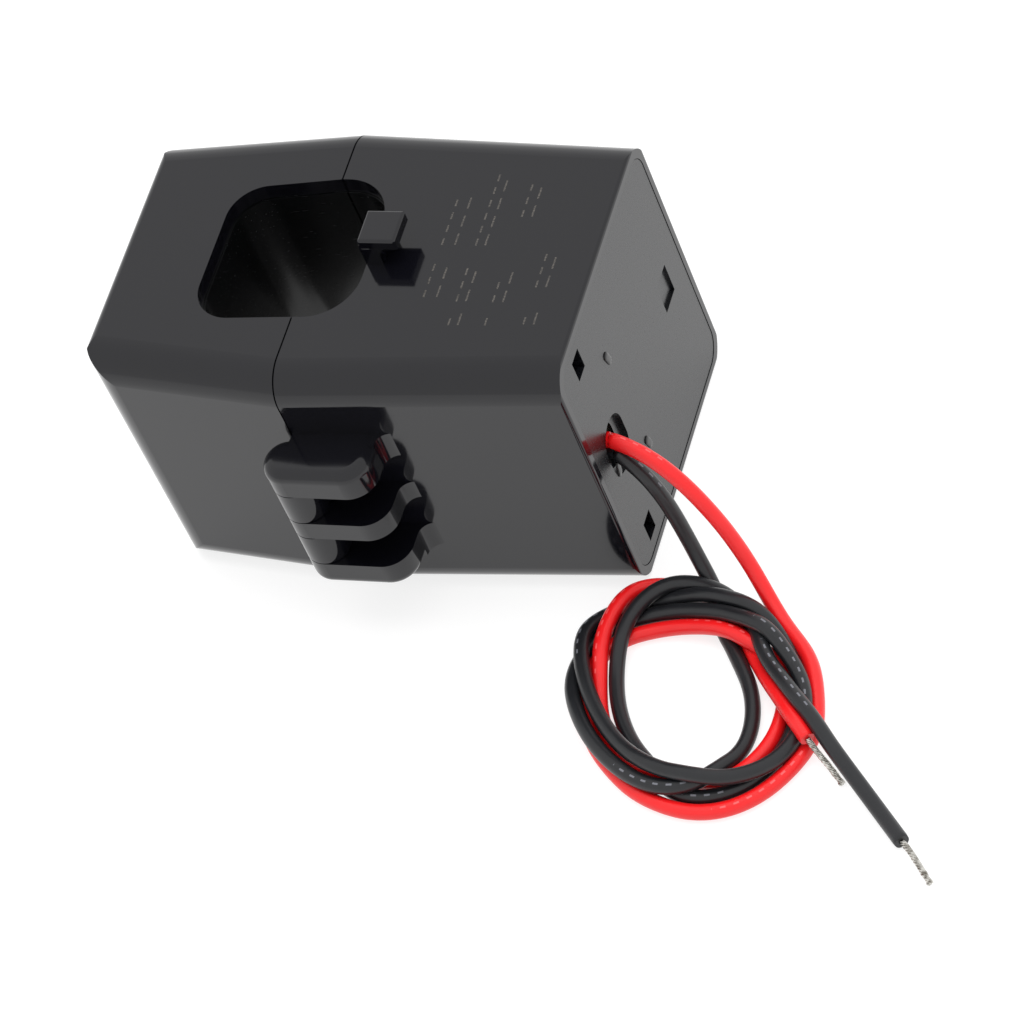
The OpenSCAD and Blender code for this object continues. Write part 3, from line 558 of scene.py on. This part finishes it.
class FinishInside(bpy.types.Operator):
    """Real finishes on the core, bobbin, winding, tape, sleeves, stubs, pin, spring and adhesive"""
    bl_idname = "transformer.finish_inside"
    bl_label = "Finish the inside"

    def execute(self, context):
        # cut core of rolled silicon steel strip 0.3 mm thick, its ends ground and lapped: fine pale lines
        core = lined("ground_silicon_steel", "#8a8d92", "#5f6267", 0.34, 0.0003, "Y", Metallic=1.0)
        nylon = plain("moulded_nylon", "#e9e4d6", "#ddd6c4", 0.45, 900.0, 0.00001)
        copper = lined("enamelled_copper_wire", "#b4582a", "#6d2d12", 0.25, 0.0003, "Y", Metallic=0.9)
        film = plain("polyester_tape", "#d8ae2a", "#c99c1c", 0.3, 700.0, 0.00002, Coat_Weight=0.3)
        sleeve = plain("shrunk_sleeve", "#17181a", "#222326", 0.5, 1200.0, 0.00002)
        glue = plain("hot_melt_adhesive", "#d9cfae", "#c9bd98", 0.35, 500.0, 0.00006)
        steel = plain("drawn_steel", "#b9bcc2", "#a4a8ae", 0.25, 2500.0, 0.00001, Metallic=1.0)
        strip = plain("rolled_spring_steel", "#c3c6ca", "#adb1b6", 0.22, 2500.0, 0.00001, Metallic=1.0)
        red = plain("red_vinyl_stub", "#dc1216", "#c80f12", 0.32, 800.0, 0.00002)
        black = plain("black_vinyl_stub", "#141518", "#1c1d20", 0.34, 800.0, 0.00002)
        pieces = (
            (core, ("base_core", "cap_core")),
            (nylon, ("bobbin_front", "bobbin_back")),
            (copper, ("secondary_winding", "start_tail", "finish_tail")),
            (film, ("winding_tape",)),
            (sleeve, ("red_splice_sleeve", "black_splice_sleeve")),
            (glue, ("lead_anchor",)),
            (steel, ("hinge_pin",)),
            (strip, ("core_spring",)),
            (red, ("red_lead_stub",)),
            (black, ("black_lead_stub",)),
        )
        for mat, names in pieces:
            for name in names:
                paint(name, mat)
        return {"FINISHED"}


class MarkFace(bpy.types.Operator):
    """Rows of plain laser-etched dashes on the window face"""
    bl_idname = "transformer.mark_face"
    bl_label = "Mark the face"

    def execute(self, context):
        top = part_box("cap_shell")[1][2] / MM
        # each row: its middle along the part, its height, and where its groups start and end
        rows = [
            (12.6, 2.1, ((-5.4, -0.6), (0.6, 6.9))),
            (15.7, 1.5, ((-8.5, -6.6), (-5.8, -1.8), (0.6, 9.0))),
            (19.2, 1.6, ((-8.4, -7.4), (-5.8, -2.3), (4.0, 8.0))),
            (22.8, 1.6, ((-8.2, -6.5), (-4.0, -0.2))),
        ]
        thin, lift = 0.17, 0.004
        boxes = []
        for x, high, groups in rows:
            for start, end in groups:
                # two lines of dashes, of unlike pitch and length
                for side, pitch, long in ((-0.3, 1.5, 0.8), (0.3, 2.1, 1.3)):
                    middle = np.arange(start + pitch / 2, end, pitch)
                    along = np.full(len(middle), x + side * high)
                    boxes.append(np.stack([along - thin / 2, middle - long / 2,
                                           along + thin / 2, middle + long / 2], axis=1))
        x0, y0, x1, y1 = np.concatenate(boxes).T
        flat = np.stack([np.column_stack([x0, y0]), np.column_stack([x1, y0]),
                         np.column_stack([x1, y1]), np.column_stack([x0, y1])], axis=1).reshape(-1, 2)
        points = np.column_stack([flat, np.full(len(flat), top + lift)]) * MM
        mesh = bpy.data.meshes.new("etched_strokes")
        mesh.from_pydata(points.tolist(), [], np.arange(len(points)).reshape(-1, 4).tolist())
        obj = bpy.data.objects.new("etched_strokes", mesh)
        context.scene.collection.objects.link(obj)
        mat, tree, shader = finish("laser_etched_plastic", shade("#3c3936"), 0.5)
        grain = node(tree, "ShaderNodeTexNoise", {"Scale": 6000.0, "Detail": 2.0},
                     {"Vector": node(tree, "ShaderNodeTexCoord").outputs["Object"]})
        tone = ramp(tree, grain.outputs["Fac"], [(0.35, shade("#262423")), (0.65, shade("#524e49"))])
        tree.links.new(tone.outputs["Color"], shader.inputs["Base Color"])
        mesh.materials.append(mat)
        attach(obj, "base")
        return {"FINISHED"}


class RaiseBars(bpy.types.Operator):
    """Three plain bars with rounded ends on the cover, round about the exit"""
    bl_idname = "transformer.raise_bars"
    bl_label = "Raise the bars"

    def execute(self, context):
        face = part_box("end_cover")[1][0] / MM
        count, end_r, half_run = 32, 0.4, 0.5
        around = np.linspace(0, 2 * np.pi, count, endpoint=False)
        # a bar is a stretched circle; its rings go from the cover's face out to a rounded top
        rings = ((1.0, 0.0), (1.0, 0.08), (0.9, 0.13), (0.6, 0.15), (0.05, 0.15))
        across = end_r * np.cos(around)
        along = end_r * np.sin(around) + half_run * np.sign(np.sin(around))
        grids = []
        for y, z, tilt in ((-4.1, 8.8, 0.35), (-10.35, 13.0, -0.2), (-4.8, 21.7, 0.3)):
            a = across * np.cos(tilt) - along * np.sin(tilt)
            b = across * np.sin(tilt) + along * np.cos(tilt)
            rows = [np.stack([np.full(count, face + rise), y + grow * a, z + grow * b], axis=1)
                    for grow, rise in rings]
            grids.append(np.stack(rows) * MM)
        bars = tube_mesh("cover_bars", grids, "base")
        bars.data.materials.append(gloss_plastic("black_ABS_bars", shade("#050506"), 0.2, 0.0))
        return {"FINISHED"}


class RoundSlabs(bpy.types.Operator):
    """The round outer corners of the two outer hinge slabs"""
    bl_idname = "transformer.round_slabs"
    bl_label = "Round the slabs"

    def execute(self, context):
        # the corner's radius, the slab's thickness, its edge's radius, where the corner's axis lies
        # along the part, and how far from mid-height the slab's outer face is
        corner_r, slab_t, edge_r, run, reach = 2.6, 3.1, 1.1, 5.6, 8.1
        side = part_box("base_shell")[0][1] / MM + corner_r
        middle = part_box("cap_shell")[1][2] / MM / 2
        # a quarter turn of a slab's section: up its outer face, round its edge and a little way in,
        # so that the flat top keeps its own shading
        bend = np.linspace(0, np.pi / 2, 9)
        inner_r = corner_r - edge_r
        radius = np.concatenate([[corner_r], inner_r + edge_r * np.cos(bend), [inner_r - 0.05]])
        rise = np.concatenate([[0], slab_t - edge_r + edge_r * np.sin(bend), [slab_t]])
        turn = np.linspace(-np.pi / 2, 0, 17)
        rows, cols = len(radius), len(turn)
        low, high = rows * cols, rows * cols + 1
        k = np.arange(cols - 1)
        last = (rows - 1) * cols
        first_edge = np.arange(rows) * cols
        # the quarter's skin, its bottom and top fans, and its two cut sides
        blocks = [
            quad_grid(rows, cols),
            np.column_stack([np.full(cols - 1, low), k + 1, k]),
            np.column_stack([np.full(cols - 1, high), last + k, last + k + 1]),
            np.array([[low, *first_edge, high], [high, *(first_edge + cols - 1)[::-1], low]]),
        ]
        points, both = [], []
        for k, up in enumerate((1, -1)):
            z = middle + up * (reach - slab_t + np.append(np.repeat(rise, cols), [0, slab_t]))
            x = run + np.append(np.outer(radius, np.cos(turn)).ravel(), [0, 0])
            y = side + np.append(np.outer(radius, np.sin(turn)).ravel(), [0, 0])
            points.append(np.column_stack([x, y, z]) * MM)
            for block in blocks:
                both += (block[:, ::up] + k * (high + 1)).tolist()
        mesh = bpy.data.meshes.new("slab_corners")
        mesh.from_pydata(np.vstack(points).tolist(), [], both)
        mesh.polygons.foreach_set("use_smooth", np.ones(len(both), bool))
        mesh.set_sharp_from_angle(angle=0.5)
        obj = bpy.data.objects.new("slab_corners", mesh)
        context.scene.collection.objects.link(obj)
        mesh.materials.append(bpy.data.materials["polished_black_ABS"])
        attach(obj, "base")
        return {"FINISHED"}


class TransformerPanel(bpy.types.Panel):
    """What a user would change, and then the steps"""
    bl_idname = "VIEW3D_PT_transformer"
    bl_label = "Split-core transformer"
    bl_space_type = "VIEW_3D"
    bl_region_type = "UI"
    bl_category = "Transformer"

    def draw(self, context):
        for group in (context.scene.housing_look, context.scene.lead_look, context.scene.stage_look):
            for name in group.__annotations__:
                self.layout.prop(group, name)
        for step in STEPS:
            self.layout.operator(step.bl_idname)


STEPS = (SetStage, LayLeads, FinishHousing, FinishInside, MarkFace, RaiseBars, RoundSlabs)
CLASSES = (HousingLook, LeadLook, StageLook, *STEPS, TransformerPanel)


def register():
    for cls in CLASSES:
        bpy.utils.register_class(cls)
    bpy.types.Scene.housing_look = bpy.props.PointerProperty(type=HousingLook)
    bpy.types.Scene.lead_look = bpy.props.PointerProperty(type=LeadLook)
    bpy.types.Scene.stage_look = bpy.props.PointerProperty(type=StageLook)


def unregister():
    del bpy.types.Scene.housing_look, bpy.types.Scene.lead_look, bpy.types.Scene.stage_look
    for cls in reversed(CLASSES):
        bpy.utils.unregister_class(cls)


def main():
    """Takes every step in order."""
    register()
    bpy.ops.transformer.set_stage()
    bpy.ops.transformer.lay_leads()
    bpy.ops.transformer.finish_housing()
    bpy.ops.transformer.finish_inside()
    bpy.ops.transformer.mark_face()
    bpy.ops.transformer.raise_bars()
    bpy.ops.transformer.round_slabs()


if __name__ == "__main__":
    main()
